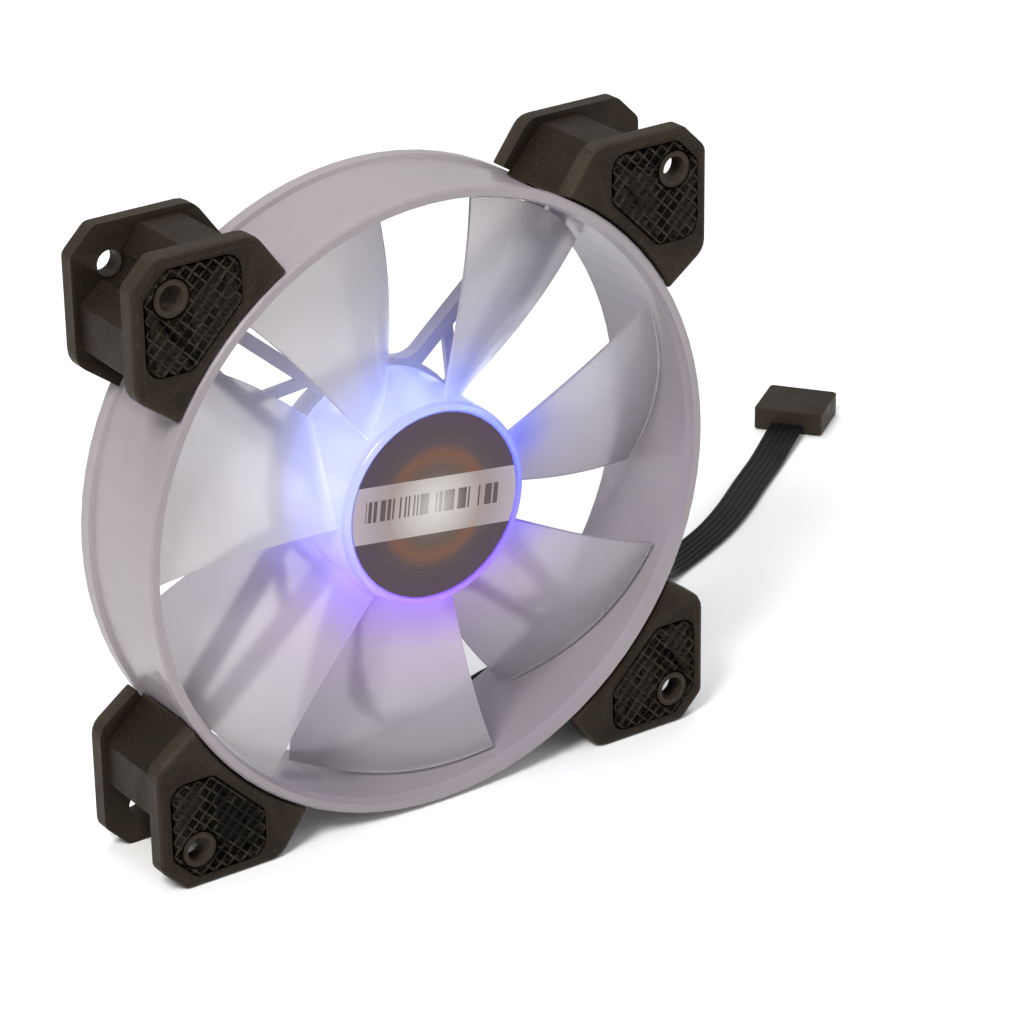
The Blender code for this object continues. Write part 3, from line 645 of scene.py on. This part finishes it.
def frosted():
    """The impeller's milky plastic, with painted light from the hub outwards: a blue-violet painted glow in
    its colour, and emission.
    """
    look = Look("frosted_impeller", IOR=1.45, Transmission_Weight=0.66)
    radius, x, up = look.around()
    painted_glow_reach = 0.04
    tint = look.ramp(look.noise(28.0), (0.3, (0.51, 0.485, 0.50)), (0.7, (0.58, 0.555, 0.57)))
    # Painted glow: a blue-violet tint of the LEDs' light mixed into the colour near the hub.
    near = look.ramp(look.times(radius, 1 / painted_glow_reach), (0.46, 1.0), (0.52, 0.75), (0.78, 0.0))
    look.colour(look.mix(near, tint, look.mix(0.55, (0.34, 0.36, 0.60), glow_colour(look, x, up))))
    look.rough(look.ramp(look.noise(260.0), (0.3, 0.18), (0.7, 0.26)))
    look.bump(look.noise(500.0, 2.0), 0.015)
    # Painted glow: emission from the hub outwards, standing in for the LEDs' light.
    painted_hub_glow(look, radius, x, up, (16.5, 0.04), (18.4, 0.40), (20.0, 0.36), (22.5, 0.20), (30.0, 0.09),
             (42.0, 0.025), (56.0, 0.0))
    return look.material


def shell():
    """Black grained moulding with a warm cast, rubbed edges and a little dust."""
    look = Look("black_shell_grain", Specular_IOR_Level=0.10, Specular_Tint=(1.0, 0.86, 0.72, 1.0))
    base = (0.0095, 0.0070, 0.0046)
    light = tuple(value * 1.7 for value in base)
    dusty = (0.15, 0.115, 0.08)
    rubbed = (0.10, 0.08, 0.06)
    tone = look.ramp(look.noise(60.0, 4.0, 0.55), (0.3, base), (0.75, light))
    grain = look.noise(2400.0, 2.0, 0.6)
    tone = look.mix(look.times(look.ramp(grain, (0.56, 0.0), (0.72, 1.0)), 0.12), tone, dusty)
    tone = look.mix(look.times(look.edges(0.53, 0.62), 0.30), tone, rubbed)
    look.colour(tone)
    look.rough(look.ramp(look.noise(300.0, 4.0), (0.3, 0.44), (0.7, 0.58)))
    look.bump(grain, 0.30)
    return look.material


def rubber():
    """Dull black rubber; its ridges are rubbed brownish."""
    look = Look("pad_rubber", Specular_IOR_Level=0.06)
    dark = (0.004, 0.0035, 0.003)
    light = (0.008, 0.007, 0.0055)
    rubbed = (0.11, 0.088, 0.06)
    tone = look.ramp(look.noise(150.0, 4.0, 0.6), (0.3, dark), (0.7, light))
    dust = look.ramp(look.noise(1400.0, 4.0, 0.7), (0.42, 0.25), (0.70, 1.0))
    tone = look.mix(look.times(look.times(dust, look.edges(0.52, 0.60)), 0.35), tone, rubbed)
    look.colour(tone)
    look.rough(look.ramp(look.noise(400.0, 4.0), (0.3, 0.55), (0.7, 0.8)))
    look.bump(look.noise(3000.0, 2.0), 0.2)
    return look.material


def printed_rings(look, radius, far):
    """The label's ground, from the middle outwards, with an orange ring, a painted highlight that lightens
    the middle, and fine lighter rings of painted highlight.
    """
    ring_radians_per_metre = 9000.0
    ring_highlight_tone = (0.12, 0.095, 0.095)
    # The lighter middle of the ground is painted highlight; the orange ring and the darker outer tones are
    # print.
    ground = look.ramp(far, (0.0, (0.16, 0.14, 0.13)), (0.15, (0.11, 0.095, 0.09)),
                       (0.36, (0.075, 0.045, 0.033)), (0.50, (0.13, 0.045, 0.018)),
                       (0.60, (0.042, 0.027, 0.034)), (0.90, (0.050, 0.027, 0.050)))
    fade = look.ramp(far, (0.1, 0.5), (0.62, 0.5), (0.72, 0.0))
    # Painted highlight: fine lighter rings around the middle.
    highlight_rings = look.plus(look.math("SINE", look.times(radius, ring_radians_per_metre)), 1.0)
    highlight_rings = look.times(highlight_rings, look.times(fade, 0.5))
    return look.mix(look.times(highlight_rings, 0.5), ground, ring_highlight_tone)


def plain_bars(look, along, across, far):
    """Strength of a row of bars of random widths, which stand for no number, fainter at the middle."""
    bars_per_metre = 2700.0
    gap_share = 0.42
    row_above_middle = 0.0006
    row_left_of_middle = 0.0007
    half_height = 0.0020
    half_length = 0.0143
    bar = look.math("GREATER_THAN", look.random_cells(look.times(along, bars_per_metre)), gap_share)
    height = look.within(look.less(across, row_above_middle), half_height)
    reach = look.within(look.plus(along, row_left_of_middle), half_length)
    # The bars fade at the middle, under the painted highlight.
    clear_middle = look.ramp(far, (0.12, 0.35), (0.34, 0.92))
    return look.times(look.times(bar, height), look.times(reach, clear_middle))


def label():
    """Dark printed film: fine rings of painted highlight, an orange ring and a tilted light band with plain
    bars, lightened at the middle by painted highlight.
    """
    look = Look("printed_label", Specular_IOR_Level=0.3, Coat_Weight=0.12, Coat_Roughness=0.2)
    radius, x, up = look.around()
    label_radius = 0.02
    band_tilt = math.radians(-7.0)
    band_half = 0.0054
    ink_tone = (0.05, 0.032, 0.036)
    far = look.times(radius, 1 / label_radius)
    along = look.plus(look.times(x, math.cos(band_tilt)), look.times(up, math.sin(band_tilt)))
    across = look.less(look.times(up, math.cos(band_tilt)), look.times(x, math.sin(band_tilt)))
    band = look.within(across, band_half)
    # The band's colour is print, lightened towards the middle by painted highlight.
    band_print_and_highlight = look.ramp(far, (0.0, (0.56, 0.54, 0.52)), (0.3, (0.40, 0.37, 0.36)), (0.5, (0.27, 0.22, 0.21)),
                      (0.65, (0.28, 0.24, 0.26)), (0.9, (0.36, 0.31, 0.36)))
    band_print_and_highlight = look.mix(plain_bars(look, along, across, far), band_print_and_highlight, ink_tone)
    look.colour(look.mix(look.times(band, 0.94), printed_rings(look, radius, far), band_print_and_highlight))
    look.rough(look.ramp(look.noise(300.0), (0.3, 0.35), (0.7, 0.5)))
    return look.material


def metal(name, colour, rough_low, rough_high, scale=700.0):
    look = Look(name, Metallic=1.0)
    darker = tuple(value * 0.75 for value in colour)
    look.colour(look.ramp(look.noise(scale * 0.3, 4.0), (0.3, darker), (0.7, colour)))
    look.rough(look.ramp(look.noise(scale, 4.0), (0.3, rough_low), (0.7, rough_high)))
    look.bump(look.noise(scale * 3, 2.0), 0.1)
    return look.material


def copper():
    look = Look("copper_winding", Metallic=0.85, Coat_Weight=0.4)
    radius, _, _ = look.around()
    turn_radians_per_metre = 26000.0
    # Painted shade in the grooves between turns and painted highlight on their crests, following the turns.
    shadow = (0.25, 0.08, 0.03)
    crest_highlight = (0.75, 0.32, 0.14)
    turns = look.math("SINE", look.times(radius, turn_radians_per_metre))
    look.colour(look.ramp(look.plus(look.times(turns, 0.5), 0.5), (0.1, shadow), (0.6, crest_highlight)))
    look.rough(look.ramp(look.noise(500.0), (0.3, 0.25), (0.7, 0.4)))
    look.bump(turns, 0.5)
    return look.material


def plastic(name, dark, light, rough_low, rough_high, grain=1500.0, **values):
    look = Look(name, **values)
    look.colour(look.ramp(look.noise(120.0, 4.0), (0.3, dark), (0.7, light)))
    look.rough(look.ramp(look.noise(grain * 0.4), (0.3, rough_low), (0.7, rough_high)))
    look.bump(look.noise(grain, 2.0), 0.15)
    return look.material


def lens():
    look = Look("led_lens_lit", Roughness=0.25, Coat_Weight=0.5)
    _, x, up = look.around()
    look.colour(look.ramp(look.noise(900.0), (0.3, (0.85, 0.83, 0.62)), (0.7, (0.95, 0.94, 0.80))))
    look.glow(glow_colour(look, x, up), 3.0)
    return look.material


def dress():
    """Makes each slot's material and puts it on the CAD objects that have the slot."""
    looks = {
        "clear_plastic": milky(),
        "black_shell": shell(),
        "black_rubber": rubber(),
        "frosted_plastic": frosted(),
        "label_film": label(),
        "steel": metal("ground_steel", (0.62, 0.62, 0.64), 0.2, 0.38),
        "ferrite": plastic("bonded_ferrite", (0.035, 0.035, 0.038), (0.07, 0.07, 0.075), 0.5, 0.7),
        "brass": metal("turned_brass", (0.78, 0.60, 0.30), 0.2, 0.35),
        "sintered_bronze": metal("sintered_bronze_oiled", (0.50, 0.33, 0.20), 0.35, 0.6, 2500.0),
        "enamelled_copper": copper(),
        "white_nylon": plastic("moulded_nylon", (0.72, 0.71, 0.67), (0.84, 0.83, 0.80), 0.4, 0.6),
        "board": plastic("white_board", (0.74, 0.76, 0.76), (0.86, 0.88, 0.88), 0.35, 0.5),
        "chip_epoxy": plastic("chip_case", (0.015, 0.015, 0.016), (0.035, 0.035, 0.036), 0.5, 0.65, 3000.0),
        "led_lens": lens(),
        "wire_insulation": plastic("wire_jacket", (0.0025, 0.0022, 0.0024), (0.006, 0.0055, 0.0058),
                                   0.30, 0.42, 900.0, Specular_IOR_Level=0.13),
    }
    slots = {part["node"]: part["material_slot"] for part in frame["record"]["subparts"]}
    for name, node in frame["nodes"].items():
        look = looks[slots[name]]
        for slot in node.material_slots:
            slot.material = look
        if not node.material_slots:
            node.data.materials.append(look)
    return looks


# Stage and lights, in metres and watts.

FLOOR_HALF = 4
FLOOR_DROP = 0.00005
FLOOR_TONES = ((0.86, 0.86, 0.86), (0.90, 0.90, 0.90))
SKY_COLOUR = (0.97, 0.98, 1.0, 1.0)
SKY_STRENGTH = 0.58
LIGHTS = (
    ("key", (-0.55, -0.35, 0.75), 0.3, 9.0, (1.0, 0.98, 0.95)),
    ("fill", (0.7, -0.6, 0.35), 0.6, 1.6, (0.95, 0.97, 1.0)),
    ("top", (0.1, 0.3, 0.9), 0.7, 4.0, (1.0, 1.0, 1.0)),
)


def make_stage():
    bm = bmesh.new()
    corners = [(-1, -1), (1, -1), (1, 1), (-1, 1)]
    bm.faces.new([bm.verts.new((x * FLOOR_HALF, y * FLOOR_HALF, -FLOOR_DROP)) for x, y in corners])
    floor = link_mesh("floor", bm)
    look = Look("pale_floor", Roughness=0.85, Specular_IOR_Level=0.2)
    look.colour(look.ramp(look.noise(6.0, 4.0), (0.3, FLOOR_TONES[0]), (0.7, FLOOR_TONES[1])))
    floor.data.materials.append(look.material)
    world = bpy.context.scene.world or bpy.data.worlds.new("studio")
    bpy.context.scene.world = world
    world.use_nodes = True
    world.node_tree.nodes["Background"].inputs["Color"].default_value = SKY_COLOUR
    world.node_tree.nodes["Background"].inputs["Strength"].default_value = SKY_STRENGTH
    bpy.context.scene.view_settings.view_transform = "Standard"


def make_lights():
    """Round area lights that face the shaft's middle."""
    for name, place, size, power, colour in LIGHTS:
        data = bpy.data.lights.new(name, "AREA")
        data.shape = "DISK"
        data.size = size
        data.energy = power
        data.color = colour
        lamp = bpy.data.objects.new(name, data)
        lamp.location = place
        toward = Vector((0, 0, SHAFT_Z)) - Vector(place)
        lamp.rotation_euler = toward.to_track_quat("-Z", "Y").to_euler()
        bpy.context.scene.collection.objects.link(lamp)


make_camera()
looks = dress()
make_lead(looks["wire_insulation"])
make_pads(looks["black_rubber"])
make_impeller(looks["frosted_plastic"])
make_stage()
make_lights()
